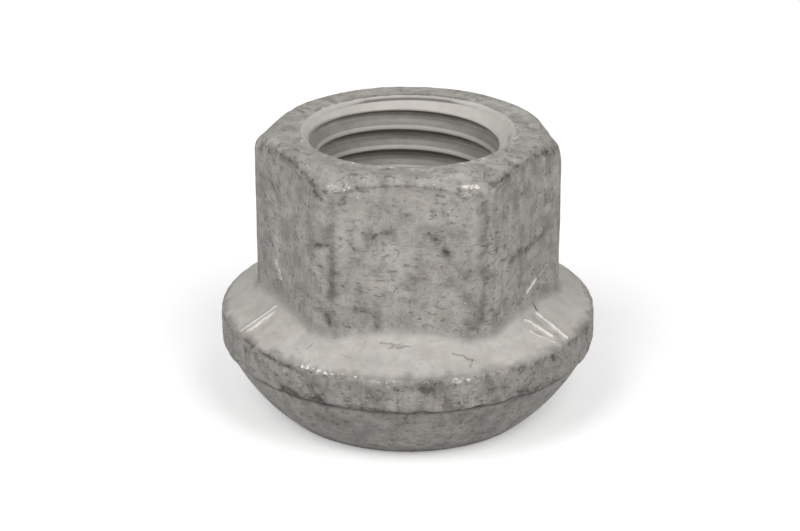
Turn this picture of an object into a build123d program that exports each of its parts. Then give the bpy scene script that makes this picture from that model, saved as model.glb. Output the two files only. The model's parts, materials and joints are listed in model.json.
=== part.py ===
from build123d import *
from math import cos, radians, sqrt, tan
import os

# Ball-seat wheel nut for an M14 x 1.5 stud, cold forged from steel in one piece.
# It stands on the small flat ring at the end of its ball seat, with the hexagon upwards.
# The origin is at the centre of that ring and +Z runs up the thread's axis.
# Two of the hexagon's flats face +Y and -Y. All sizes are in millimetres.

# Thread: the bore is tapped right-handed, and is drawn here at its minor diameter.
thread_diameter = 14.0
thread_pitch = 1.5
minor_diameter_drop = 1.0825  # ISO 68-1: the nominal diameter less this many pitches
countersink_margin = 0.25  # how far the countersink's mouth stands outside the thread
countersink_angle = 45.0  # between the countersink's wall and the end face

# Hexagon: forged dies leave its six corners short of sharp.
across_flats = 19.0
corner_cut = 0.5  # how far each corner falls short of a sharp hexagon's
corner_blend = 0.8  # radius where a flat turns into a corner
nut_height = 20.0
top_chamfer_inset = 0.38  # from a flat in to the edge of the round top face
top_chamfer_angle = 35.0  # below the top face
top_edge_blend = 0.25

# Flange: a short round rim under a conical shoulder.
flange_diameter = 26.0
rim_height = 2.3  # up to where the shoulder's line meets the rim's
rim_top_blend = 0.7
rim_bottom_blend = 0.25
shoulder_angle = 29.0  # below the horizontal
hexagon_root_blend = 0.9  # where the hexagon stands on the shoulder

# Ball seat: part of a sphere centred on the thread's axis, with a low neck between it and the rim.
seat_sphere_radius = 14.0
seat_height = 5.0  # from the foot up to the rim
neck_depth = 0.35  # how far the neck stands in from the rim
foot_land = 1.65  # width of the flat ring that the nut stands on

# A wall counts as upright when its normal rises less than this share of its length.
upright_tolerance = 0.001

# Sizes that follow from the ones above.
minor_radius = (thread_diameter - minor_diameter_drop * thread_pitch) / 2
countersink_radius = thread_diameter / 2 + countersink_margin
countersink_depth = (countersink_radius - minor_radius) * tan(radians(countersink_angle))
foot_radius = countersink_radius + foot_land
seat_centre_height = sqrt(seat_sphere_radius**2 - foot_radius**2)
flange_radius = flange_diameter / 2
rim_top = seat_height + rim_height
sharp_corner_radius = across_flats / 2 / cos(radians(30))
corner_radius = sharp_corner_radius - corner_cut
top_face_radius = across_flats / 2 - top_chamfer_inset


def shoulder_height(radius):
    """Height of the conical shoulder at a distance from the axis."""
    return rim_top + (flange_radius - radius) * tan(radians(shoulder_angle))


def chamfer_height(radius):
    """Height of the top chamfer at a distance from the axis."""
    return nut_height - (radius - top_face_radius) * tan(radians(top_chamfer_angle))


def flange_and_seat():
    """The round lower half, turned about the axis: ball seat, neck, rim and shoulder."""
    core_radius = across_flats / 2 - hexagon_root_blend
    with BuildPart() as part:
        with BuildSketch(Plane.XZ) as outline:
            with Locations((0, seat_centre_height)):
                Circle(seat_sphere_radius)
            Rectangle(
                flange_radius - neck_depth, seat_height, align=(Align.MIN, Align.MIN), mode=Mode.INTERSECT
            )
            with BuildLine():
                Polyline(
                    (0, seat_height),
                    (flange_radius, seat_height),
                    (flange_radius, rim_top),
                    (core_radius, shoulder_height(core_radius)),
                    (0, shoulder_height(core_radius)),
                    close=True,
                )
            make_face()
            rim_corners = outline.vertices().group_by(Axis.X)[-1].sort_by(Axis.Y)
            fillet(rim_corners[-1], rim_top_blend)
            fillet(rim_corners[0], rim_bottom_blend)
        revolve(axis=Axis.Z)
    return part.part


def hexagon():
    """The wrenching hexagon, with its corners cut short and its top chamfered."""
    with BuildPart() as part:
        with BuildSketch(Plane.XY.offset(seat_height)) as plan:
            RegularPolygon(across_flats / 2, 6, major_radius=False)
            Circle(corner_radius, mode=Mode.INTERSECT)
            fillet(plan.vertices(), corner_blend)
        extrude(amount=nut_height - seat_height)
        with BuildSketch(Plane.XZ):
            with BuildLine():
                Polyline(
                    (0, 0),
                    (sharp_corner_radius, 0),
                    (sharp_corner_radius, chamfer_height(sharp_corner_radius)),
                    (top_face_radius, nut_height),
                    (0, nut_height),
                    (0, 0),
                )
            make_face()
        revolve(axis=Axis.Z, mode=Mode.INTERSECT)
    return part.part


def bore():
    """What the tapping drill and the countersinks at both ends take away."""
    with BuildPart() as part:
        with BuildSketch(Plane.XZ):
            with BuildLine():
                Polyline(
                    (0, 0),
                    (countersink_radius, 0),
                    (minor_radius, countersink_depth),
                    (minor_radius, nut_height - countersink_depth),
                    (countersink_radius, nut_height),
                    (0, nut_height),
                    (0, 0),
                )
            make_face()
        revolve(axis=Axis.Z)
    return part.part


def wall_edges(shape, cone_place):
    """The edges where upright walls meet the lowest cone (place 0) or the highest (place -1)."""
    cone = shape.faces().filter_by(GeomType.CONE).group_by(Axis.Z)[cone_place]
    walls = shape.faces().filter_by(lambda face: abs(face.normal_at().Z) < upright_tolerance)
    return cone.edges() & walls.edges()


def lug_nut():
    """The whole nut: the hexagon and its flange blended into one forging, then bored."""
    blank = flange_and_seat() + hexagon()
    blank = fillet(wall_edges(blank, 0), hexagon_root_blend)
    blank = fillet(wall_edges(blank, -1), top_edge_blend)
    return blank - bore()


if __name__ == "__main__":
    os.makedirs("parts", exist_ok=True)
    export_step(lug_nut(), "parts/lug_nut.step")
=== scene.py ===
import json
from collections import namedtuple
from math import cos, pi, radians, sin, sqrt, tan

import bmesh
import bpy
import numpy as np
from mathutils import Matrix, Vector, noise


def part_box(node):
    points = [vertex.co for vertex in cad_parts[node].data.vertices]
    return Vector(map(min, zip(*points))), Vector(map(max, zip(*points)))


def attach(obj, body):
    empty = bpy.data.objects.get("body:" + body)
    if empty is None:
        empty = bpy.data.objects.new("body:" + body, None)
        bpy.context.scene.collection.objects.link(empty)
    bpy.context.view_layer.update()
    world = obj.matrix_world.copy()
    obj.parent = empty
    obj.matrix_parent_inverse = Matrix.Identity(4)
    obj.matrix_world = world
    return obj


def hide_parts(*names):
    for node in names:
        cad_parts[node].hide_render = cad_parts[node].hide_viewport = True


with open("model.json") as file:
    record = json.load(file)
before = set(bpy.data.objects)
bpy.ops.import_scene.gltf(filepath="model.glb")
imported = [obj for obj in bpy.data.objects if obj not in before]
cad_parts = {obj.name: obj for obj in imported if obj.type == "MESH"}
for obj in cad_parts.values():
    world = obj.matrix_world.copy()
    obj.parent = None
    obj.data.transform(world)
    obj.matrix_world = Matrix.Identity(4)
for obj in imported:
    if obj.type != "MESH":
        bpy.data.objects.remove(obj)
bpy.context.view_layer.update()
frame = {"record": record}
solid_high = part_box("lug_nut")[1]
mounts = {mount["name"]: mount for mount in frame["record"]["mounts"]}

# Lengths are in millimetres unless they say otherwise, and MM turns one into Blender's metres.
# The nut's axis is Z, its foot is at height 0, and an azimuth of 0 points along +X.
MM = 0.001

# The outer form, with the solid's own sizes.
nut_height = solid_high.z / MM
flange_radius = solid_high.x / MM
half_flats = 9.5
corner_radius = 10.47
corner_softness = 0.05  # over how much of the radius a flat runs into a corner
crease_turn = np.arccos(half_flats / corner_radius)  # from a flat's middle to its corner's start
top_face_radius = 9.12
chamfer_slope = tan(radians(35))
shoulder_slope = tan(radians(29))
rim_bottom = 5.0
rim_top = 7.3  # where the shoulder's line would meet the rim's
neck_radius = 12.65
ball_radius = 14.0
foot_radius = 8.9
mouth_radius = 7.25  # of both countersinks, whose walls stand at 45 degrees
ball_centre_height = sqrt(ball_radius**2 - foot_radius**2)
neck_bottom = ball_centre_height - sqrt(ball_radius**2 - neck_radius**2)

# The foot and the lower countersink's edge in section, as radii and heights.
bore_end_gap = 0.22  # from each end face to the ring where the thread's grid starts
foot_section = [
    (foot_radius + 0.02, 0.06),
    (foot_radius - 0.07, 0.0),
    (foot_radius - 0.4, 0.0),
    (foot_radius - 0.8, 0.0),
    (mouth_radius + 0.4, 0.0),
    (mouth_radius + 0.08, 0.0),
    (mouth_radius - 0.05, 0.07),
    (mouth_radius - bore_end_gap, bore_end_gap),
]

# The top countersink's edge in section, as radii and heights: plain, and with the burred lip that
# the cutter left along the back.
plain_edge = [
    (7.08, 19.83), (7.12, 19.87), (7.18, 19.93), (7.25, 20.0),
    (7.40, 20.0), (7.50, 20.0), (7.60, 20.0),
]
burred_edge = [
    (6.95, 19.70), (7.00, 19.72), (7.03, 19.84), (7.14, 19.97),
    (7.25, 20.01), (7.37, 19.91), (7.52, 20.0),
]
burr_azimuth = radians(93)
burr_reach = radians(36)
burr_fullness = 1.6  # above 1, so that the burr keeps its whole size over a stretch
burr_drop = 0.11  # how much further down the burred lip starts
lip_shade_lines = [(7.44, 0.09), (7.015, 0.03)]  # radius and width of the painted shade lines along the burred lip's small grooves
lip_line_floor = 19.71  # the height below which they don't show

# The right-hand thread.
thread_pitch = 1.5
crest_radius = mounts["thread"]["dims"]["r_mm"]
root_radius = 7.0
crest_width = 0.22
root_width = 0.34
flank_width = (thread_pitch - crest_width - root_width) / 2
thread_softness = 0.04  # how far the coating rounds each corner of the thread
crest_height_behind = 17.79  # where the first crest starts at the azimuth below
crest_azimuth = radians(92.55)
spare_turns = 2  # past both ends of the bore

# The grids: fine columns on the forged outside, half as many on the seat and in the bore.
fine_columns = 384
crease_crowding = 1.6  # how much denser the columns stand at a crease of the hexagon
crease_reach = radians(1.3)
density_samples = 14401  # azimuths at which the columns' density is added up
seat_rows = 36
lip_step = 0.01  # from the lip's first row to the ring where the bore's grid starts
least_gap = 0.03  # a thread point nearer than this to the bore's end falls on its ring

# The surfaces in the order in which the skin runs over them. Where one is rounded into the next, a
# point's surface lies between the two.
COUNTERSINK, TOP_RING, CHAMFER, WALL, SHOULDER, RIM = range(6)
RIM_UNDERSIDE, NECK, BALL, FOOT, THREAD, ROOT, CREST, CREST_EDGE = range(6, 14)
HEXAGON_FOOT = WALL + 0.6  # in the blend from the hexagon into the shoulder
FLANK_FOOT = THREAD + 0.35  # the flank beside the root, where the root's paler paint, a painted light, starts

# Each surface's finish: how uneven it is, how pale, and how much of the forging's blotches it has.
Finish = namedtuple("Finish", "unevenness paleness forged")
finishes = {
    COUNTERSINK: Finish(0.006, 0.54, 0.05),
    TOP_RING: Finish(0.040, 0.35, 1.0),
    CHAMFER: Finish(0.060, 0.34, 1.0),
    WALL: Finish(0.045, 0.34, 1.0),
    HEXAGON_FOOT: Finish(0.014, 0.355, 0.3),
    SHOULDER: Finish(0.014, 0.478, 0.3),
    RIM: Finish(0.085, 0.29, 1.0),
    RIM_UNDERSIDE: Finish(0.040, 0.27, 1.0),
    NECK: Finish(0.020, 0.26, 1.0),
    BALL: Finish(0.018, 0.29, 1.0),
    FOOT: Finish(0.0, 0.30, 0.5),
    THREAD: Finish(0.004, 0.27, 0.2),
    # The root and the crest flat are painted paler than the flanks as painted light, making up for
    # the shade the crests cast; the crest's upper edge is paler as a painted highlight.
    ROOT: Finish(0.004, 0.62, 0.2),
    CREST: Finish(0.004, 0.60, 0.1),
    CREST_EDGE: Finish(0.004, 0.43, 0.0),
}

# How exposed each surface is to wear: most on the rounded edges of top face, chamfer and rim.
exposure = {
    TOP_RING: 0.25,
    TOP_RING + 0.5: 1.0,
    CHAMFER: 0.4,
    CHAMFER + 0.5: 1.0,
    WALL: 0.1,
    SHOULDER: 0.0,
    SHOULDER + 0.3: 0.9,
    SHOULDER + 0.8: 1.0,
    RIM: 0.45,
    RIM + 0.5: 0.8,
    RIM_UNDERSIDE: 0.3,
}

# The forging's unevenness: the size of each kind of form, and its share of the whole.
lump_size = 3.1
lump_share = 0.8
streak_size = (0.8, 0.8, 2.4)
streak_share = 0.35
grain_size = 0.42
grain_share = 0.25
pit_size = 0.7
pit_share = 1.6
pit_rarity = 0.3  # the higher, the fewer and smaller the pits
pit_shift = Vector((40.0, 0.0, 0.0))  # keeps the pits from following the grain

# The hexagon's walls: a worn crease beside each corner, and a dark line below the chamfer.
wall_reach = 0.6  # how far into the neighbouring surfaces these two run on, in surface numbers
crease_width = radians(1.4)
crease_depth = 0.03
crease_darkness = 0.25
chamfer_line_drop = 0.2
chamfer_line_width = 0.13
chamfer_line_darkness = 0.65

# Rings about the axis where wear gathers or shade is painted, each with how far it spreads.
Ring = namedtuple("Ring", "radius height reach")
rim_edge = Ring(12.95, 7.15, 0.5)
rim_foot = Ring(12.9, rim_bottom, 0.45)
crevice_under_rim = Ring(neck_radius + 0.05, rim_bottom - 0.02, 0.24)
mouth_edge = Ring(7.42, nut_height, 0.2)

# Chips along the rim's top edge, which is beaten most at two places.
chip_size = 0.6
chip_depth = 0.38
chip_burr = 0.1  # how high the edge stands between two chips
chips_everywhere = 0.2
battered_places = [(radians(248), radians(26), 0.8), (radians(318), radians(20), 0.4)]

# The rim's paleness runs up over its worn top edge in a ragged line.
worn_fullness = 1.2
worn_raggedness = 0.9
worn_limit = 0.1  # of the nearness to the edge, below which nothing is worn

# Painted shade in the crevice under the rim, which comes and goes.
crevice_shade_darkness = 0.75
crevice_raggedness = 0.7

# The rim's lower edge wanders up and down.
wander_size = 1.2
wander_height = 0.14

# Bright specks on the top countersink's edge.
speck_height = 0.06
speck_brightness = 0.9
speck_contrast = 2.5


def turn_from(azimuth, centre):
    """The signed angle from one azimuth to another, between minus and plus half a turn."""
    return (azimuth - centre + pi) % (2 * pi) - pi


def turn_from_flat(azimuth):
    """The signed angle from the middle of the nearest flat of the hexagon."""
    return azimuth % (pi / 3) - pi / 6


def smooth_least(first, second, width):
    """The lesser of two values, with the change from one to the other rounded over a width."""
    share = np.clip(0.5 + (second - first) / (2 * width), 0, 1)
    return second + (first - second) * share - width * share * (1 - share)


def bell(distance, width):
    """1 at no distance, falling smoothly to nothing within about twice the width."""
    return np.exp(-((distance / width) ** 2))


def hexagon_radius(azimuth):
    """The hexagon's radius at an azimuth: flats, and corners cut to a cylinder."""
    flat = half_flats / np.cos(turn_from_flat(azimuth))
    return smooth_least(flat, corner_radius, corner_softness)


def chamfer_height(radius):
    """Height of the top chamfer at a distance from the axis."""
    return nut_height - (radius - top_face_radius) * chamfer_slope


def shoulder_height(radius):
    """Height of the conical shoulder at a distance from the axis."""
    return rim_top + (flange_radius - radius) * shoulder_slope


def column_azimuths():
    """Azimuths of the fine columns, closer together where the hexagon's creases run."""
    azimuth = np.linspace(0, 2 * pi, density_samples)
    off_crease = np.abs(np.abs(turn_from_flat(azimuth)) - crease_turn)
    density = 1 + crease_crowding * bell(off_crease, crease_reach)
    share = np.concatenate([[0], np.cumsum((density[1:] + density[:-1]) / 2)])
    wanted = np.linspace(0, share[-1], fine_columns, endpoint=False)
    return np.interp(wanted, share, azimuth)


fine = column_azimuths()
coarse = fine[::2]


def burr_strength(azimuths):
    """How strong the burr on the top countersink's edge is: whole at the back, fading forwards."""
    return np.clip(burr_fullness * bell(turn_from(azimuths, burr_azimuth), burr_reach), 0, 1)


def lip_gap(azimuths):
    """How far down the top countersink its lip reaches, which is where the thread's grid starts."""
    return bore_end_gap + burr_drop * burr_strength(azimuths)


# A row of the section is a surface with the radius and the height of its point in each column.


def lip_rows():
    """Rows over the top countersink's edge, plain in front and burred along the back."""
    burr = burr_strength(fine)
    start = lip_gap(fine)
    rows = [(COUNTERSINK, mouth_radius - start, nut_height - start)]
    for plain, burred in zip(plain_edge, burred_edge):
        surface = COUNTERSINK if plain[0] <= mouth_radius else TOP_RING
        radii = plain[0] + (burred[0] - plain[0]) * burr
        heights = plain[1] + (burred[1] - plain[1]) * burr
        rows.append((surface, radii, heights))
    return rows


# A corner of the outer section: how far its rounding reaches along both sides, how many rows
# the rounding takes, and how many follow on the straight stretch to the next corner.
Corner = namedtuple("Corner", "radius height reach turn_rows rows_after", defaults=(0, 0, 0))


def blended_rows(surface, corners):
    """Rows along a section rounded at its inner corners. Each stretch is a surface of its own."""
    points = [np.array(np.broadcast_arrays(c.radius, c.height, fine)[:2]) for c in corners]
    starts = [points[0]]
    ends = []
    for before, middle, after, corner in zip(points, points[1:], points[2:], corners[1:]):
        inward = before - middle
        outward = after - middle
        ends.append(middle + inward * corner.reach / np.hypot(*inward))
        starts.append(middle + outward * corner.reach / np.hypot(*outward))
    ends.append(points[-1])
    rows = []
    for place, (start, end) in enumerate(zip(starts, ends)):
        count = corners[place].rows_after
        for step in range(1, count + 1):
            rows.append((surface + place, *(start + (end - start) * step / count)))
        middle = points[place + 1]
        for step in range(1, corners[place + 1].turn_rows + 1):
            t = step / corners[place + 1].turn_rows
            point = (1 - t) ** 2 * end + 2 * t * (1 - t) * middle + t**2 * starts[place + 1]
            rows.append((surface + place + t, *point))
    return rows


def outer_rows():
    """Rows of the forged outside, from the top countersink's edge out and down to the neck."""
    rows = lip_rows()
    _, edge_radii, edge_heights = rows[-1]
    wall = hexagon_radius(fine)
    cut_back = (wall - half_flats) / (corner_radius - half_flats)
    corners = [
        Corner(edge_radii, edge_heights, rows_after=9),
        Corner(top_face_radius, nut_height, 0.15, 3, 7),
        Corner(wall, chamfer_height(wall), 0.2 + 0.2 * cut_back, 6, 52),
        Corner(wall, shoulder_height(wall), 0.53, 8, 15),
        Corner(flange_radius, rim_top, 0.27, 7, 13),
        Corner(flange_radius, rim_bottom, 0.27, 4, 1),
        Corner(neck_radius, rim_bottom, 0.05, 2, 2),
        Corner(neck_radius, neck_bottom),
    ]
    return rows + blended_rows(TOP_RING, corners)


class Skin:
    """Points and faces of the closed mesh as it grows, ring by ring."""

    def __init__(self):
        self.points = []
        self.surfaces = []
        self.faces = []

    def add_point(self, surface, azimuth, radius, height):
        """Adds a point on a surface and returns its number."""
        self.points.append((radius * cos(azimuth), radius * sin(azimuth), height))
        self.surfaces.append(surface)
        return len(self.points) - 1

    def add_ring(self, surface, azimuths, radii, heights):
        """Adds a ring of points and returns their numbers."""
        radii = np.broadcast_to(radii, azimuths.shape)
        heights = np.broadcast_to(heights, azimuths.shape)
        return [self.add_point(surface, *point) for point in zip(azimuths, radii, heights)]

    def add_face(self, *corners):
        """Adds a face, leaving out corners that fall on one another."""
        kept = [c for place, c in enumerate(corners) if c != corners[place - 1]]
        if len(set(kept)) == len(kept) and len(kept) > 2:
            self.faces.append(kept)

    def join(self, upper, lower):
        """Faces between two rings with as many points each."""
        for place in range(len(upper)):
            self.add_face(upper[place - 1], lower[place - 1], lower[place], upper[place])

    def join_halving(self, many, few):
        """Faces between a ring and one with half as many points."""
        for place in range(len(few)):
            here = many[2 * place]
            between = many[2 * place + 1]
            ahead = many[(2 * place + 2) % len(many)]
            follow = (place + 1) % len(few)
            self.add_face(here, few[place], between)
            self.add_face(between, few[place], few[follow])
            self.add_face(between, few[follow], ahead)


def thread_section():
    """One pitch of the thread as (surface, height, radius), from the start of a crest upwards."""
    rise = (root_radius - crest_radius) / flank_width * thread_softness
    root_start = crest_width + flank_width
    root_end = root_start + root_width
    soft = thread_softness
    # Root, crest and the crest's upper edge are surfaces of their own, so that they can carry
    # painted light and a painted highlight.
    return [
        (CREST, soft, crest_radius),
        (CREST, crest_width - 3 * soft, crest_radius),
        (CREST_EDGE, crest_width - soft, crest_radius),
        (CREST_EDGE, crest_width + soft, crest_radius + rise),
        (THREAD, crest_width + 3 * soft, crest_radius + 3 * rise),
        (FLANK_FOOT, root_start - soft, root_radius - rise),
        (ROOT, root_start + soft, root_radius),
        (ROOT, root_end - soft, root_radius),
        (THREAD, root_end + soft, root_radius - rise),
        (THREAD, root_end + flank_width / 2, (crest_radius + root_radius) / 2),
        (THREAD, thread_pitch - soft, crest_radius + rise),
    ]


def countersink(height):
    """The radius that the two countersinks open the bore to at a height."""
    return mouth_radius - min(height, nut_height - height)


def meet_countersinks(heights, radii):
    """Moves a point of the thread's section onto each place where a countersink crosses it."""
    above = [radius - countersink(height) for height, radius in zip(heights, radii)]
    for row in range(len(heights) - 1):
        if above[row] * above[row + 1] < 0:
            share = above[row] / (above[row] - above[row + 1])
            meeting = heights[row] + (heights[row + 1] - heights[row]) * share
            nearer = row if share < 0.5 else row + 1
            heights[nearer] = meeting
            radii[nearer] = countersink(meeting)


def thread_column(azimuth):
    """Surfaces, heights and radii of the thread up the bore at one azimuth."""
    start = crest_height_behind + thread_pitch * (azimuth - crest_azimuth) / (2 * pi)
    start -= thread_pitch * round(crest_height_behind / thread_pitch)
    surfaces = []
    heights = []
    radii = []
    for turn in range(-spare_turns, int(nut_height / thread_pitch) + 1 + spare_turns):
        for surface, height, radius in thread_section():
            surfaces.append(surface)
            heights.append(start + turn * thread_pitch + height)
            radii.append(radius)
    meet_countersinks(heights, radii)
    return surfaces, heights, radii


def bore_column(skin, azimuth, top_point, bottom_point):
    """Points up the bore at one azimuth. Those past its ends fall on the end rings' points."""
    numbers = []
    for surface, height, radius in zip(*thread_column(azimuth)):
        opened = countersink(height)
        surface = COUNTERSINK if opened >= radius else surface
        if height > nut_height - lip_gap(azimuth) - least_gap:
            numbers.append(top_point)
        elif height < bore_end_gap + least_gap:
            numbers.append(bottom_point)
        else:
            numbers.append(skin.add_point(surface, azimuth, max(radius, opened), height))
    return numbers


def add_bore(skin, top_ring, bottom_ring):
    """The threaded bore. Its rows follow the helix, so each turn ends where the next one starts."""
    turn_rows = len(thread_section())
    columns = [bore_column(skin, *ends) for ends in zip(coarse, top_ring, bottom_ring)]
    for place in range(len(columns)):
        lead = turn_rows if place == 0 else 0
        behind = [bottom_ring[place - 1]] * lead + columns[place - 1]
        here = columns[place] + [top_ring[place]] * lead
        for row in range(len(behind) - 1):
            skin.add_face(behind[row], behind[row + 1], here[row + 1], here[row])


def add_seat(skin, neck_ring):
    """The ball seat, the foot and the lower countersink's edge; returns the last ring."""
    neck_angle = np.arccos((ball_centre_height - neck_bottom) / ball_radius)
    foot_angle = np.arccos(ball_centre_height / ball_radius)
    angles = np.linspace(neck_angle, foot_angle, seat_rows)
    last = None
    for angle in angles[1:-1]:
        height = ball_centre_height - ball_radius * cos(angle)
        ring = skin.add_ring(BALL, coarse, ball_radius * sin(angle), height)
        if last is None:
            skin.join_halving(neck_ring, ring)
        else:
            skin.join(last, ring)
        last = ring
    for radius, height in foot_section:
        ring = skin.add_ring(FOOT, coarse, radius, height)
        skin.join(last, ring)
        last = ring
    return last


def nut_skin():
    """The whole nut's closed skin, still even."""
    skin = Skin()
    rings = [skin.add_ring(surface, fine, *section) for surface, *section in outer_rows()]
    for upper, lower in zip(rings, rings[1:]):
        skin.join(upper, lower)
    bottom_ring = add_seat(skin, rings[-1])
    step_in = lip_gap(coarse) + lip_step
    top_ring = skin.add_ring(COUNTERSINK, coarse, mouth_radius - step_in, nut_height - step_in)
    skin.join_halving(rings[0], top_ring)
    add_bore(skin, top_ring, bottom_ring)
    return skin


def on_surface(azimuth, radius, height):
    """A point from its azimuth in degrees, radius and height."""
    return Vector((radius * cos(radians(azimuth)), radius * sin(radians(azimuth)), height))


def on_wall(azimuth, height):
    return on_surface(azimuth, float(hexagon_radius(radians(azimuth))), height)


def on_shoulder(azimuth, radius):
    return on_surface(azimuth, radius, shoulder_height(radius))


def on_chamfer(azimuth, radius):
    return on_surface(azimuth, radius, chamfer_height(radius))


def on_rim(azimuth, height):
    return on_surface(azimuth, flange_radius, height)


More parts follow.
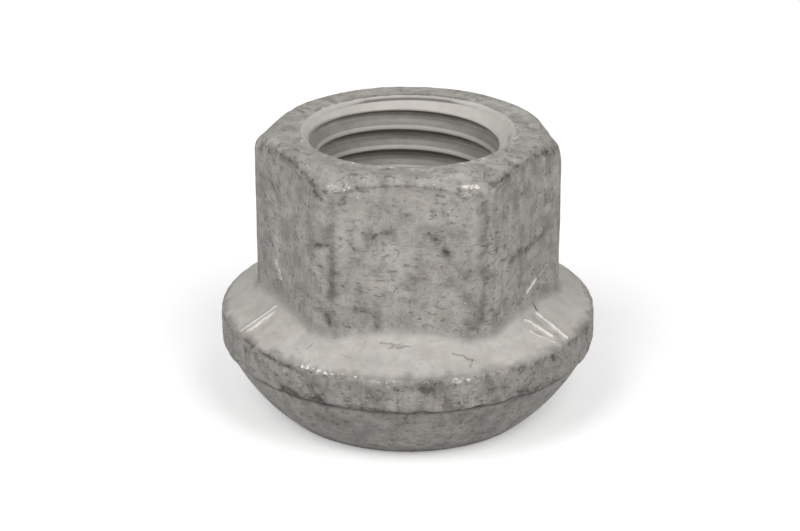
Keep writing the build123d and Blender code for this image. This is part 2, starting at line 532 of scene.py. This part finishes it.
# Marks that the nut has picked up. Each runs from one point to another and fades over its width.
# Raised is its height in millimetres, and dark and bright say how strongly it shows.
Mark = namedtuple("Mark", "start end width raised dark bright", defaults=(0.0, 0.0, 0.0))
marks = [
    # The front flat: stains, spots and a raised streak.
    Mark(on_wall(257.5, 15.85), on_wall(264, 16.25), 0.42, -0.02, 0.75),
    Mark(on_wall(280.5, 16.35), on_wall(283, 15.8), 0.42, -0.02, 0.8),
    Mark(on_wall(286.2, 15.1), on_wall(288.5, 14.75), 0.28, -0.03, 0.9),
    Mark(on_wall(269.5, 17.7), on_wall(275.5, 17.5), 0.18, -0.01, 0.6),
    Mark(on_wall(286, 17.7), on_wall(286.3, 17.6), 0.16, -0.02, 0.7),
    Mark(on_wall(251, 15.45), on_wall(252.2, 15.05), 0.2, -0.02, 0.8),
    Mark(on_wall(265.5, 13.5), on_wall(268, 13.45), 0.14, -0.01, 0.6),
    Mark(on_wall(274, 13.2), on_wall(281, 12.95), 0.14, -0.01, 0.6),
    Mark(on_wall(269, 11.6), on_wall(273, 11.5), 0.14, -0.01, 0.55),
    Mark(on_wall(252.5, 10.75), on_wall(257, 10.7), 0.16, -0.01, 0.6),
    Mark(on_wall(251.4, 18.2), on_wall(250.9, 15.3), 0.3, 0.04),
    # The two front corners: hollow creases, worn strips and stains.
    Mark(on_wall(244.6, 18.0), on_wall(243.0, 9.6), 0.34, -0.08, 0.6),
    Mark(on_wall(302, 18.7), on_wall(300.6, 9.7), 0.34, -0.07, 0.6),
    Mark(on_wall(240.6, 18.3), on_wall(240.2, 11.0), 0.34, 0.04, 0.0, 0.25),
    Mark(on_wall(248.3, 18.0), on_wall(247.6, 11.5), 0.4, 0.03, 0.0, 0.2),
    Mark(on_wall(247.0, 18.1), on_wall(250.2, 19.0), 0.22, -0.05, 0.7),
    Mark(on_wall(250.2, 19.0), on_wall(257.4, 19.45), 0.16, -0.03, 0.5),
    Mark(on_wall(237.0, 18.7), on_wall(239.6, 18.4), 0.24, -0.05, 0.9),
    Mark(on_wall(239.5, 13.6), on_wall(241.5, 13.5), 0.28, -0.02, 0.6),
    Mark(on_wall(296.6, 18.9), on_wall(295.2, 10.2), 0.22, 0.03, 0.0, 0.35),
    Mark(on_wall(237.5, 15.0), on_wall(243, 15.25), 0.3, -0.03, 0.8),
    Mark(on_wall(241.5, 10.5), on_wall(241.9, 9.7), 0.22, -0.04, 0.9),
    Mark(on_wall(294.1, 9.8), on_wall(298.8, 9.3), 0.2, -0.03, 0.7),
    # The left flat: pale streaks, a rubbed spot and a bruise's outline.
    Mark(on_wall(209, 19.0), on_wall(211, 16.0), 0.2, 0.02, 0.0, 0.3),
    Mark(on_wall(214.5, 18.6), on_wall(214, 15.7), 0.18, 0.02, 0.0, 0.3),
    Mark(on_wall(203.3, 11.7), on_wall(207.5, 10.8), 0.42, 0.03, 0.0, 0.9),
    Mark(on_wall(228, 13.7), on_wall(236, 13.9), 0.35, 0.02, 0.0, 0.4),
    Mark(on_wall(190.5, 17.0), on_wall(193, 16.8), 0.3, 0.02, 0.0, 0.55),
    Mark(on_wall(189, 17.3), on_wall(199.3, 17.35), 0.2, -0.04, 0.5),
    Mark(on_wall(199.3, 17.35), on_wall(205, 16.5), 0.2, -0.04, 0.55),
    Mark(on_wall(191, 15.2), on_wall(202.7, 15.9), 0.15, -0.02, 0.55),
    # The right flat: a dark scrape and stains.
    Mark(on_wall(316, 13.2), on_wall(324, 13.45), 0.26, -0.02, 0.75),
    Mark(on_wall(326, 13.4), on_wall(338.2, 13.55), 0.24, -0.03, 0.75),
    Mark(on_wall(338.2, 13.55), on_wall(344.4, 13.9), 0.24, -0.03, 0.8),
    Mark(on_wall(344.4, 13.9), on_wall(356, 13.8), 0.16, -0.02, 0.5),
    Mark(on_wall(343.5, 16.5), on_wall(347, 16.1), 0.4, -0.02, 0.55),
    Mark(on_wall(343, 15.6), on_wall(349, 15.0), 0.35, 0.02, 0.0, 0.4),
    Mark(on_wall(346, 18.0), on_wall(347, 17.8), 0.16, -0.02, 0.7),
    # The shoulder: raised scores, one painted brighter as partly rubbed wear and partly a painted
    # highlight, with hollows beside them painted darker as painted shade, and a pit in its edge.
    Mark(on_shoulder(210.6, 12.35), on_shoulder(211.6, 10.35), 0.36, 0.1, 0.0, 0.25),
    Mark(on_shoulder(214.2, 12.3), on_shoulder(215.6, 10.9), 0.22, -0.05, 0.25),
    Mark(on_shoulder(206.9, 12.4), on_shoulder(208.2, 10.5), 0.2, -0.05, 0.25),
    Mark(on_shoulder(213.0, 12.8), on_shoulder(218.5, 12.85), 0.26, -0.2, 0.95),
    Mark(on_shoulder(327.2, 10.5), on_shoulder(328.9, 12.3), 0.26, -0.07, 0.35),
    Mark(on_shoulder(324.4, 10.6), on_shoulder(326.9, 12.0), 0.24, 0.05),
    Mark(on_shoulder(330.8, 10.5), on_shoulder(331.1, 12.5), 0.26, 0.06),
    Mark(on_shoulder(322.3, 11.3), on_shoulder(325.3, 12.3), 0.18, -0.05, 0.3),
    # The rim: stains, and rubbed or beaten places along its edges.
    Mark(on_rim(277.5, 6.9), on_rim(283.5, 5.8), 0.55, -0.02, 0.7),
    Mark(on_rim(261, 6.7), on_rim(263, 5.8), 0.45, 0.02, 0.45),
    Mark(on_rim(246, 6.4), on_rim(248.5, 5.7), 0.4, 0.03, 0.4),
    Mark(on_rim(299, 6.6), on_rim(301, 5.9), 0.45, 0.02, 0.45),
    Mark(on_rim(271.5, 6.6), on_rim(272.5, 5.8), 0.5, 0.05, 0.0, 0.25),
    Mark(on_shoulder(240, 12.85), on_shoulder(249, 12.8), 0.3, 0.0, 0.0, 0.75),
    Mark(on_shoulder(249, 12.8), on_shoulder(259, 12.85), 0.28, 0.0, 0.0, 0.7),
    Mark(on_rim(262, 7.15), on_rim(280, 7.15), 0.2, 0.0, 0.0, 0.5),
    Mark(on_rim(285.4, 7.1), on_rim(292.2, 7.25), 0.22, 0.0, 0.0, 0.6),
    Mark(on_rim(221, 7.25), on_rim(229, 7.1), 0.26, -0.12, 0.75),
    Mark(on_rim(229, 7.1), on_rim(240, 6.85), 0.3, -0.12, 0.7),
    Mark(on_rim(243, 6.2), on_rim(244, 5.5), 0.3, -0.04, 0.6),
    Mark(on_rim(232, 5.3), on_rim(247, 5.25), 0.34, -0.05, 0.9),
    Mark(on_rim(256, 5.2), on_rim(266, 5.15), 0.2, -0.03, 0.7),
    Mark(on_rim(304, 5.35), on_rim(316, 5.3), 0.26, -0.04, 0.7),
    Mark(on_rim(314, 7.1), on_rim(322, 7.0), 0.3, -0.1, 0.6),
    Mark(on_rim(330, 7.2), on_rim(344, 7.1), 0.25, -0.08, 0.6),
    Mark(on_rim(196, 7.2), on_rim(206, 7.1), 0.25, -0.08, 0.6),
    # The ball seat: a faint stain.
    Mark(on_surface(243, 11.9, 3.6), on_surface(248, 11.6, 3.1), 0.5, 0.0, 0.4),
    # The chamfer's lower edge: dark lines at the left and right, rubbed spots at the front
    # corners, and places beaten in at the right and at the back's left.
    Mark(on_chamfer(189, 10.0), on_chamfer(206.8, 9.48), 0.2, -0.05, 0.7),
    Mark(on_chamfer(206.8, 9.48), on_chamfer(225.6, 9.68), 0.22, -0.06, 0.85),
    Mark(on_chamfer(225.6, 9.68), on_chamfer(236.5, 10.4), 0.24, -0.06, 0.85),
    Mark(on_chamfer(358, 10.3), on_chamfer(347, 9.85), 0.4, -0.06, 0.6),
    Mark(on_chamfer(347, 9.85), on_chamfer(334, 9.5), 0.36, -0.1, 0.85),
    Mark(on_chamfer(334, 9.5), on_chamfer(322, 9.5), 0.22, -0.05, 0.6),
    Mark(on_chamfer(321, 9.5), on_chamfer(313, 9.85), 0.28, -0.06, 0.85),
    Mark(on_chamfer(313, 9.85), on_chamfer(303.5, 10.35), 0.24, -0.06, 0.8),
    Mark(on_chamfer(242.4, 10.15), on_chamfer(248.6, 9.95), 0.26, 0.02, 0.0, 0.7),
    Mark(on_chamfer(293.5, 9.95), on_chamfer(299.6, 10.1), 0.28, 0.02, 0.0, 0.85),
    Mark(on_chamfer(357, 10.3), on_chamfer(16, 10.2), 0.8, -0.26),
    Mark(on_chamfer(152, 10.2), on_chamfer(172, 10.2), 0.9, -0.12),
]


# Scores and scratches too thin for the mesh. Each is a line with a width and a tone, which is
# above 0 where the line is raised and bright and below 0 where it is cut in and dark.
Score = namedtuple("Score", "start end width tone")
scores = [
    # The raised scores' bright tone is partly rubbed wear and partly a painted highlight along
    # them.
    # The shoulder's left: two raised scores close together.
    Score(on_shoulder(209.0, 12.55), on_shoulder(210.1, 10.1), 0.30, 1.0),
    Score(on_shoulder(211.4, 12.4), on_shoulder(212.6, 10.4), 0.24, 0.8),
    # The shoulder's right: three raised scores and a short cut.
    Score(on_shoulder(323.2, 10.3), on_shoulder(326.6, 12.0), 0.24, 0.9),
    Score(on_shoulder(330.6, 10.3), on_shoulder(330.9, 12.6), 0.25, 1.0),
    Score(on_shoulder(320.4, 11.1), on_shoulder(325.0, 12.4), 0.20, 0.7),
    Score(on_shoulder(333.4, 9.7), on_shoulder(332.2, 10.2), 0.18, -0.9),
    # The shoulder's front: faint cuts.
    Score(on_shoulder(288.1, 11.2), on_shoulder(293.5, 11.85), 0.13, -0.6),
    Score(on_shoulder(293.5, 11.85), on_shoulder(292.2, 12.25), 0.12, -0.5),
    Score(on_shoulder(262.9, 10.32), on_shoulder(267.0, 10.4), 0.18, -0.55),
    Score(on_shoulder(266.0, 10.65), on_shoulder(269.8, 10.35), 0.16, -0.5),
    Score(on_shoulder(268.8, 10.6), on_shoulder(273.4, 10.5), 0.18, -0.55),
    Score(on_shoulder(237.5, 11.6), on_shoulder(238.3, 11.2), 0.16, -0.5),
    Score(on_shoulder(250.0, 11.5), on_shoulder(254.5, 11.6), 0.12, -0.35),
    # The right flat: two scratches through the coating.
    Score(on_wall(331.0, 10.2), on_wall(337.5, 10.6), 0.30, 0.85),
    Score(on_wall(337.5, 10.6), on_wall(346.5, 11.2), 0.14, 0.6),
]


def nearness(points, mark):
    """How near each point is to a mark: 1 on its middle line and 0 well away from it."""
    start = np.array(mark.start)
    along = np.array(mark.end) - start
    share = np.clip((points - start) @ along / (along @ along), 0, 1)
    distance = np.linalg.norm(points - start - share[:, None] * along, axis=1)
    return bell(distance, mark.width)


def near_ring(points, ring):
    """How near each point is to a ring about the axis: 1 on it and 0 well away from it."""
    radii = np.hypot(points[:, 0], points[:, 1])
    return bell(np.hypot(radii - ring.radius, points[:, 2] - ring.height), ring.reach)


def forged_relief(point):
    """The forged skin's own lumps and pits at a point, from about -1 to 1."""
    drawn = Vector(value / size for value, size in zip(point, streak_size))
    relief = lump_share * noise.noise(point / lump_size)
    relief += streak_share * noise.noise(drawn)
    relief += grain_share * noise.noise(point / grain_size)
    return relief - pit_share * max(0.0, noise.noise(point / pit_size + pit_shift) - pit_rarity)


def finish_values(surfaces, quality):
    """One quality of the finish at each point, mixed where two surfaces meet."""
    values = [getattr(finishes[surface], quality) for surface in finishes]
    return np.interp(surfaces, list(finishes), values)


def wall_lines(points, surfaces, azimuths):
    """The creases beside the hexagon's corners and the line below its chamfer, each 1 at most."""
    on_walls = bell(surfaces - WALL, wall_reach)
    creases = bell(np.abs(turn_from_flat(azimuths)) - crease_turn, crease_width)
    below_chamfer = points[:, 2] - chamfer_height(hexagon_radius(azimuths)) + chamfer_line_drop
    return creases * on_walls, bell(below_chamfer, chamfer_line_width) * on_walls


def lip_shade_strength(points, azimuths):
    """The two lines of painted shade along the burred lip's small grooves, 1 where they are
    darkest.
    """
    radii = np.hypot(points[:, 0], points[:, 1])
    lines = sum(bell(radii - radius, width) for radius, width in lip_shade_lines)
    return lines * (points[:, 2] > lip_line_floor) * burr_strength(azimuths)


def rim_chips(points, azimuths, chips):
    """How deep the rim's top edge is chipped, and below 0 where it stands up between chips."""
    battered = chips_everywhere
    for centre, reach, strength in battered_places:
        battered = battered + strength * bell(turn_from(azimuths, centre), reach)
    depth = np.where(chips > 0, chip_depth, chip_burr) * chips
    return depth * near_ring(points, rim_edge) * battered


def paleness_values(points, surfaces, chips):
    """Each point's paleness. The rim's own runs up over its worn top edge in a ragged line."""
    paleness = finish_values(surfaces, "paleness")
    edge = near_ring(points, rim_edge)
    worn_share = np.clip(worn_fullness * edge + worn_raggedness * chips, 0, 1)
    worn_share *= edge > worn_limit
    return paleness + (finishes[RIM].paleness - paleness) * worn_share


def rim_wander(points):
    """How far the rim's lower edge is shifted up at each point."""
    wander = np.array([noise.noise(Vector((x, y, 0)) / wander_size) for x, y in points[:, :2]])
    return wander_height * wander * near_ring(points, rim_foot)


def keep_attribute(mesh, name, values):
    """Stores one number for each point of the mesh, for the material to read."""
    mesh.attributes.new(name, "FLOAT", "POINT").data.foreach_set("value", values.astype(np.float32))


def mesh_values(collection, name):
    """A vector of each of the mesh's points, row by row."""
    values = np.empty(len(collection) * 3)
    collection.foreach_get(name, values)
    return values.reshape(-1, 3)


def roughen(mesh, surfaces):
    """Moves the points by unevenness, chips and marks, and keeps how each of these shows."""
    points = mesh_values(mesh.vertices, "co") / MM
    normals = mesh_values(mesh.vertex_normals, "vector")
    azimuths = np.arctan2(points[:, 1], points[:, 0])
    relief = np.array([forged_relief(Vector(point)) for point in points])
    chips = np.array([noise.noise(Vector(point) / chip_size) for point in points])
    creases, chamfer_line = wall_lines(points, surfaces, azimuths)
    specks = near_ring(points, mouth_edge)
    # Painted shade in the crevice under the rim, made ragged by the chips' noise.
    crevice_shade = crevice_shade_darkness + crevice_raggedness * chips
    crevice_shade *= near_ring(points, crevice_under_rim)

    raised = relief * finish_values(surfaces, "unevenness") - crease_depth * creases
    raised += speck_height * specks * chips - rim_chips(points, azimuths, chips)
    dark = np.maximum(crease_darkness * creases, chamfer_line_darkness * chamfer_line)
    bright = speck_brightness * specks * np.clip(speck_contrast * chips, 0, 1)
    for mark in marks:
        near = nearness(points, mark)
        raised += near * mark.raised
        dark = np.maximum(dark, near * mark.dark)
        bright = np.maximum(bright, near * mark.bright)

    moved = points + normals * raised[:, None]
    moved[:, 2] += rim_wander(points)
    mesh.vertices.foreach_set("co", (moved * MM).ravel())
    keep_attribute(mesh, "paleness", paleness_values(points, surfaces, chips))
    keep_attribute(mesh, "forged", finish_values(surfaces, "forged"))
    keep_attribute(mesh, "dark", dark)
    keep_attribute(mesh, "bright", bright)
    keep_attribute(mesh, "edge", np.interp(surfaces, list(exposure), list(exposure.values())))
    keep_attribute(mesh, "crevice", np.maximum(crevice_shade, lip_shade_strength(points, azimuths)))


def build_nut():
    """Makes the mesh object that stands for the solid."""
    skin = nut_skin()
    mesh = bpy.data.meshes.new("lug_nut_skin")
    mesh.from_pydata([Vector(point) * MM for point in skin.points], [], skin.faces)
    shape = bmesh.new()
    shape.from_mesh(mesh)
    bmesh.ops.recalc_face_normals(shape, faces=shape.faces)
    shape.to_mesh(mesh)
    shape.free()
    roughen(mesh, np.array(skin.surfaces, dtype=float))
    mesh.shade_smooth()
    nut = bpy.data.objects.new("lug_nut_skin", mesh)
    bpy.context.scene.collection.objects.link(nut)
    return nut


class Shading:
    """Adds nodes to a material or a world. An input is a number, a colour or a node's output."""

    def __init__(self, owner):
        self.tree = owner.node_tree

    def node(self, kind, inputs, output=0, **settings):
        node = self.tree.nodes.new(kind)
        for name, value in settings.items():
            setattr(node, name, value)
        for name, value in inputs.items():
            if isinstance(value, bpy.types.NodeSocket):
                self.tree.links.new(value, node.inputs[name])
            else:
                node.inputs[name].default_value = value
        return node.outputs[output]

    def attribute(self, name):
        return self.node("ShaderNodeAttribute", {}, "Fac", attribute_name=name)

    def shows_background(self):
        """1 for what is seen, straight, mirrored or through glass, and 0 for what gives light."""
        camera = self.node("ShaderNodeLightPath", {}, "Is Camera Ray")
        mirrored = camera.node.outputs["Is Glossy Ray"]
        through = camera.node.outputs["Is Transmission Ray"]
        return self.math("MAXIMUM", camera, self.math("MAXIMUM", mirrored, through))

    def math(self, operation, first, second=0.0, **settings):
        return self.node("ShaderNodeMath", {0: first, 1: second}, operation=operation, **settings)

    def add(self, first, second):
        return self.math("ADD", first, second)

    def times(self, first, second):
        return self.math("MULTIPLY", first, second)

    def vector_math(self, operation, inputs, output=0):
        return self.node("ShaderNodeVectorMath", inputs, output, operation=operation)

    def between(self, value, low, high, first=0.0, last=1.0):
        """Runs smoothly from one number to another while a value goes from low to high."""
        inputs = {
            "Value": value,
            "From Min": low,
            "From Max": high,
            "To Min": first,
            "To Max": last,
        }
        return self.node("ShaderNodeMapRange", inputs, interpolation_type="SMOOTHSTEP")

    def mix(self, share, first, second):
        inputs = {"Factor": share, "A": first, "B": second}
        return self.node("ShaderNodeMix", inputs, data_type="FLOAT")

    def mix_colour(self, share, first, second, blend="MIX"):
        inputs = {0: share, 6: first, 7: second}
        return self.node("ShaderNodeMix", inputs, 2, data_type="RGBA", blend_type=blend)

    def link(self, node, sockets):
        """Links sockets to a node's inputs by name."""
        for name, socket in sockets.items():
            self.tree.links.new(socket, node.inputs[name])


# The coating's patterns: how fine each one is, in cells to the millimetre, how much detail it
# has, how it is squeezed along X, Y and Z, where in the noise it lies, and how far it is warped.
Pattern = namedtuple(
    "Pattern", "scale detail roughness squeeze shift warp", defaults=((1, 1, 1), (0, 0, 0), 0.0)
)
patterns = {
    "broad": Pattern(0.32, 2.0, 0.5),
    "patches": Pattern(0.95, 4.0, 0.6, shift=(5, 9, 2)),
    "grain": Pattern(5.5, 3.0, 0.6),
    "drawn": Pattern(1.0, 3.0, 0.6, squeeze=(1.6, 1.6, 0.35)),
    "flecks": Pattern(1.9, 5.0, 0.62, (1, 1, 1.4), (3, 1, 7)),
    "scuffs": Pattern(2.5, 3.0, 0.65, (0.6, 0.6, 1.4), (1, 8, 4), 0.7),
    "rubbed": Pattern(3.4, 4.0, 0.65, shift=(11, 4, 5)),
    "hue": Pattern(0.6, 3.0, 0.6, shift=(2, 17, 8)),
}
pattern_range = (0.3, 0.7)  # where nearly all of a pattern's values lie

# From which value on a pattern starts to show and shows wholly, and what else adds to it.
fleck_range = (0.58, 0.74)
scuff_range = (0.56, 0.70)
rubbed_range = (0.66, 0.82)
flecks_from_dark_marks = 0.13
flecks_from_wear = 0.085
rubbing_from_wear = 0.08
rubbing_from_marks = 0.22

# The coating's tones. Paleness is the share of the light that it gives back.
swings = {"broad": 0.1, "patches": 0.21, "drawn": 0.06, "grain": 0.08}  # up and down, as shares
stain_and_shade_darkening = (0.6, 0.3)  # by how much the dark marks darken the darkest and the palest patches: stains, and the painted shade in the shoulder's hollows
mark_brightening = 0.25
fleck_paleness = 0.55  # of the paleness round it
cut_paleness = 0.35  # of the paleness round it, for a score that is cut in
rubbed_paleness = 0.82
# The paleness of the painted shade under the rim and in the burred lip's lines.
painted_shade_paleness = 0.1
warm_tint = (1.0, 0.938, 0.868, 1)
cool_tint = (0.973, 0.962, 0.894, 1)
tint_range = (0.35, 0.65)  # of the hue pattern, from warm to cool
dark_mark_tint = (1.03, 0.93, 0.86, 1)
dark_mark_tint_share = 0.6

# Its gloss, on forged skin, where the skin is even and where it is rubbed.
specular_level = 0.06
forged_roughness = (0.54, 0.68)  # in the darkest and the palest patches
even_roughness = 0.48
rubbed_roughness = 0.36
forged_metallic = 0.04
even_metallic = 0.06
rubbed_metallic = 0.25

# Its small relief: what each thing adds to it, and how strong and how high the whole is.
reliefs = {"patches": 0.6, "grain": 0.07, "flecks": -0.16, "scores": 0.3}
bump_strength = 0.85
bump_height = 0.28

# A score's line strays from side to side.
wobble_width = 0.35
wobble_scale = 2.2
wobble_detail = 2.0


class Coating(Shading):
    """The matte zinc-flake coating: blotched and flecked on forged skin, smooth and pale off it."""

    def __init__(self, material):
        super().__init__(material)
        metres = self.node("ShaderNodeTexCoord", {}, "Object")
        self.place = self.node("ShaderNodeMapping", {"Vector": metres, "Scale": (1 / MM,) * 3})
        self.forged = self.attribute("forged")
        self.dark = self.attribute("dark")
        self.bright = self.attribute("bright")
        self.edge = self.attribute("edge")
        self.broad = self.pattern("broad")
        self.patches = self.pattern("patches")
        self.grain = self.pattern("grain")
        self.score_tone = self.all_scores()
        self.flecked = self.fleck_share()
        self.rubbed = self.rubbed_and_highlight_share()

    def pattern(self, name):
        look = patterns[name]
        mapping = {"Vector": self.place, "Scale": look.squeeze, "Location": look.shift}
        inputs = {
            "Vector": self.node("ShaderNodeMapping", mapping),
            "Scale": look.scale,
            "Detail": look.detail,
            "Roughness": look.roughness,
            "Distortion": look.warp,
        }
        return self.node("ShaderNodeTexNoise", inputs)

    def swing(self, pattern, name):
        """A pattern as a swing of the paleness to both sides of 0."""
        return self.between(pattern, *pattern_range, -swings[name], swings[name])

    def on_forged(self, elsewhere):
        """1 on forged skin, and less elsewhere."""
        return self.between(self.forged, 0.0, 1.0, elsewhere, 1.0)

    def wobbled_place(self):
        """The place, shifted a little to and fro."""
        inputs = {"Vector": self.place, "Scale": wobble_scale, "Detail": wobble_detail}
        shift = self.node("ShaderNodeTexNoise", inputs, "Color")
        moved = self.vector_math("MULTIPLY_ADD", {0: shift, 1: (wobble_width,) * 3, 2: self.place})
        return self.vector_math("SUBTRACT", {0: moved, 1: (wobble_width / 2,) * 3})

    def one_score(self, place, score):
        """The tone of a thin line at a place, fading from its middle to its width."""
        along = score.end - score.start
        offset = self.vector_math("SUBTRACT", {0: place, 1: score.start})
        share = self.vector_math("DOT_PRODUCT", {0: offset, 1: along}, "Value")
        share = self.math("MULTIPLY", share, 1 / along.length_squared, use_clamp=True)
        foot = self.vector_math("SCALE", {0: along, "Scale": share})
        distance = self.vector_math("DISTANCE", {0: offset, 1: foot}, "Value")
        return self.between(distance, score.width, 0.0, 0.0, score.tone)

    def all_scores(self):
        """The tone of all the scores together, above 0 on raised ones and below 0 on cuts."""
        place = self.wobbled_place()
        tone = 0.0
        for score in scores:
            tone = self.add(tone, self.one_score(place, score))
        return tone

    def fleck_share(self):
        """How much of a dark fleck or a scuff each place has."""
        dark_marked = self.between(self.dark, 0.3, 1.0, 0.0, flecks_from_dark_marks)
        flecks = self.add(self.pattern("flecks"), dark_marked)
        flecks = self.add(flecks, self.times(self.edge, flecks_from_wear))
        scuffs = self.between(self.pattern("scuffs"), *scuff_range)
        scuffs = self.times(scuffs, self.between(self.broad, 0.4, 0.6, 0.2, 1.0))
        share = self.math("MAXIMUM", self.between(flecks, *fleck_range), scuffs)
        return self.times(share, self.on_forged(elsewhere=0.1))

    def rubbed_and_highlight_share(self):
        """How far each place is rubbed bright in specks, and made bright along the raised scores,
        partly as rubbed wear and partly as a painted highlight.
        """
        rubbed = self.add(self.pattern("rubbed"), self.times(self.edge, rubbing_from_wear))
        rubbed = self.add(rubbed, self.between(self.bright, 0.2, 1.0, 0.0, rubbing_from_marks))
        rubbed = self.between(rubbed, *rubbed_range)
        rubbed = self.times(rubbed, self.between(self.forged, 0.0, 0.3))
        worn = self.between(self.patches, 0.35, 0.5, 0.55, 1.0)
        score_highlight = self.times(self.between(self.score_tone, 0.0, 1.0), worn)
        return self.math("MAXIMUM", rubbed, score_highlight)

    def blotches(self):
        """By what the coating's blotches, streaks and grain multiply its paleness."""
        swing = self.add(self.swing(self.broad, "broad"), self.swing(self.patches, "patches"))
        swing = self.add(swing, self.swing(self.pattern("drawn"), "drawn"))
        swing = self.times(swing, self.on_forged(elsewhere=0.2))
        swing = self.add(swing, self.times(self.swing(self.grain, "grain"), self.forged))
        return self.add(swing, 1.0)

    def paleness(self):
        paleness = self.times(self.attribute("paleness"), self.blotches())
        stain_and_shade = self.times(self.dark, self.between(self.patches, 0.35, 0.65, *stain_and_shade_darkening))
        paleness = self.times(paleness, self.math("SUBTRACT", 1.0, stain_and_shade))
        paleness = self.times(paleness, self.add(1.0, self.times(self.bright, mark_brightening)))
        paleness = self.mix(self.flecked, paleness, self.times(paleness, fleck_paleness))
        paleness = self.mix(self.rubbed, paleness, rubbed_paleness)
        cut = self.between(self.score_tone, -1.0, 0.0, cut_paleness, 1.0)
        paleness = self.times(paleness, cut)
        # Painted shade: under the rim and along the burred lip's lines.
        return self.mix(self.attribute("crevice"), paleness, painted_shade_paleness)

    def colour(self):
        """The paleness, tinted now warmer and now cooler, and warmest on the dark marks."""
        cool_share = self.between(self.pattern("hue"), *tint_range)
        tint = self.mix_colour(cool_share, warm_tint, cool_tint)
        tint = self.mix_colour(self.times(self.dark, dark_mark_tint_share), tint, dark_mark_tint)
        paleness = self.paleness()
        grey = self.node("ShaderNodeCombineColor", {0: paleness, 1: paleness, 2: paleness})
        return self.mix_colour(1.0, tint, grey, "MULTIPLY")

    def roughness(self):
        roughness = self.between(self.patches, *pattern_range, *forged_roughness)
        roughness = self.mix(self.forged, even_roughness, roughness)
        return self.mix(self.rubbed, roughness, rubbed_roughness)

    def metallic(self):
        metallic = self.between(self.forged, 0.0, 1.0, even_metallic, forged_metallic)
        return self.mix(self.rubbed, metallic, rubbed_metallic)

    def normal(self):
        """The small relief of patches, grain, flecks and scores."""
        height = self.times(self.patches, reliefs["patches"])
        height = self.add(height, self.times(self.grain, reliefs["grain"]))
        height = self.add(height, self.times(self.flecked, reliefs["flecks"]))
        height = self.times(height, self.on_forged(elsewhere=0.25))
        height = self.add(height, self.times(self.score_tone, reliefs["scores"]))
        inputs = {"Height": height, "Strength": bump_strength, "Distance": bump_height * MM}
        return self.node("ShaderNodeBump", inputs)


def new_material(name):
    """An empty material and its shader."""
    material = bpy.data.materials.new(name)
    material.use_nodes = True
    return material, material.node_tree.nodes["Principled BSDF"]


def build_coating():
    material, shader = new_material("zinc_flake_coating")
    shader.inputs["Specular IOR Level"].default_value = specular_level
    coating = Coating(material)
    coating.link(shader, {
        "Base Color": coating.colour(),
        "Roughness": coating.roughness(),
        "Metallic": coating.metallic(),
        "Normal": coating.normal(),
    })
    return material


# The floor, with its half width in metres.
floor_half_width = 2.0
floor_colour = (0.85, 0.85, 0.85, 1)
floor_roughness = 0.9
floor_glow = 0.32  # added to the lamps' light on it, so that it shows white

# Light: an even white room, and two softboxes above and in front. Lamp lengths are in metres.
white = (1, 1, 1, 1)
room_strength = 0.3
key_distance = 0.7
key_rise = radians(50)
key_width = 0.3
key_powers = {-35: 2.1, 35: 2.1}  # by azimuth in degrees from straight in front


def build_stage():
    """A pale floor that shows white to the camera and keeps the nut's soft shadow."""
    half = floor_half_width
    mesh = bpy.data.meshes.new("floor")
    corners = [(-half, -half, 0), (half, -half, 0), (half, half, 0), (-half, half, 0)]
    mesh.from_pydata(corners, [], [(0, 1, 2, 3)])
    floor = bpy.data.objects.new("floor", mesh)
    bpy.context.scene.collection.objects.link(floor)
    material, shader = new_material("floor")
    shader.inputs["Base Color"].default_value = floor_colour
    shader.inputs["Roughness"].default_value = floor_roughness
    shader.inputs["Emission Color"].default_value = white
    shading = Shading(material)
    glow = shading.times(shading.shows_background(), floor_glow)
    shading.link(shader, {"Emission Strength": glow})
    mesh.materials.append(material)


def add_softbox(name, place, aim, width, power):
    """A square area lamp that shines at a point."""
    light = bpy.data.lights.new(name, "AREA")
    light.size = width
    light.energy = power
    lamp = bpy.data.objects.new(name, light)
    lamp.location = place
    lamp.rotation_euler = (aim - place).to_track_quat("-Z", "Y").to_euler()
    bpy.context.scene.collection.objects.link(lamp)


def build_lights():
    aim = Vector((0, 0, nut_height / 2)) * MM
    across = key_distance * cos(key_rise)
    height = key_distance * sin(key_rise)
    for turn, power in key_powers.items():
        place = Vector((across * sin(radians(turn)), -across * cos(radians(turn)), height))
        add_softbox(f"key_{turn}", place, aim, key_width, power)


def build_room():
    """The world, which gives an even light and shows white."""
    world = bpy.data.worlds.new("room")
    world.use_nodes = True
    background = world.node_tree.nodes["Background"]
    background.inputs["Color"].default_value = white
    shading = Shading(world)
    strength = shading.between(shading.shows_background(), 0.0, 1.0, room_strength, 1.0)
    shading.link(background, {"Strength": strength})
    bpy.context.scene.world = world


# The camera stands a little to the right of the front flat's normal and looks down on the nut.
camera_distance = 162.5  # from a point on the axis at the height below
camera_pivot_height = 9.0
camera_turn = radians(2.55)
camera_rise = radians(23.32)
aim_left = 0.55
aim_height = 9.97
camera_lens = 104.8
sensor_width = 36.0
camera_clip = 0.01  # in metres


def build_camera():
    reach = camera_distance * cos(camera_rise)
    height = camera_pivot_height + camera_distance * sin(camera_rise)
    place = Vector((reach * sin(camera_turn), -reach * cos(camera_turn), height))
    aim = Vector((-aim_left * cos(camera_turn), -aim_left * sin(camera_turn), aim_height))
    data = bpy.data.cameras.new("camera")
    data.lens = camera_lens
    data.sensor_width = sensor_width
    data.clip_start = camera_clip
    camera = bpy.data.objects.new("camera", data)
    camera.location = place * MM
    camera.rotation_euler = (aim - place).to_track_quat("-Z", "Y").to_euler()
    bpy.context.scene.collection.objects.link(camera)
    bpy.context.scene.camera = camera


build_camera()
build_stage()
build_lights()
build_room()
nut = build_nut()
nut.data.materials.append(build_coating())
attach(nut, "root")
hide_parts("lug_nut")
bpy.context.scene.view_settings.view_transform = "Standard"
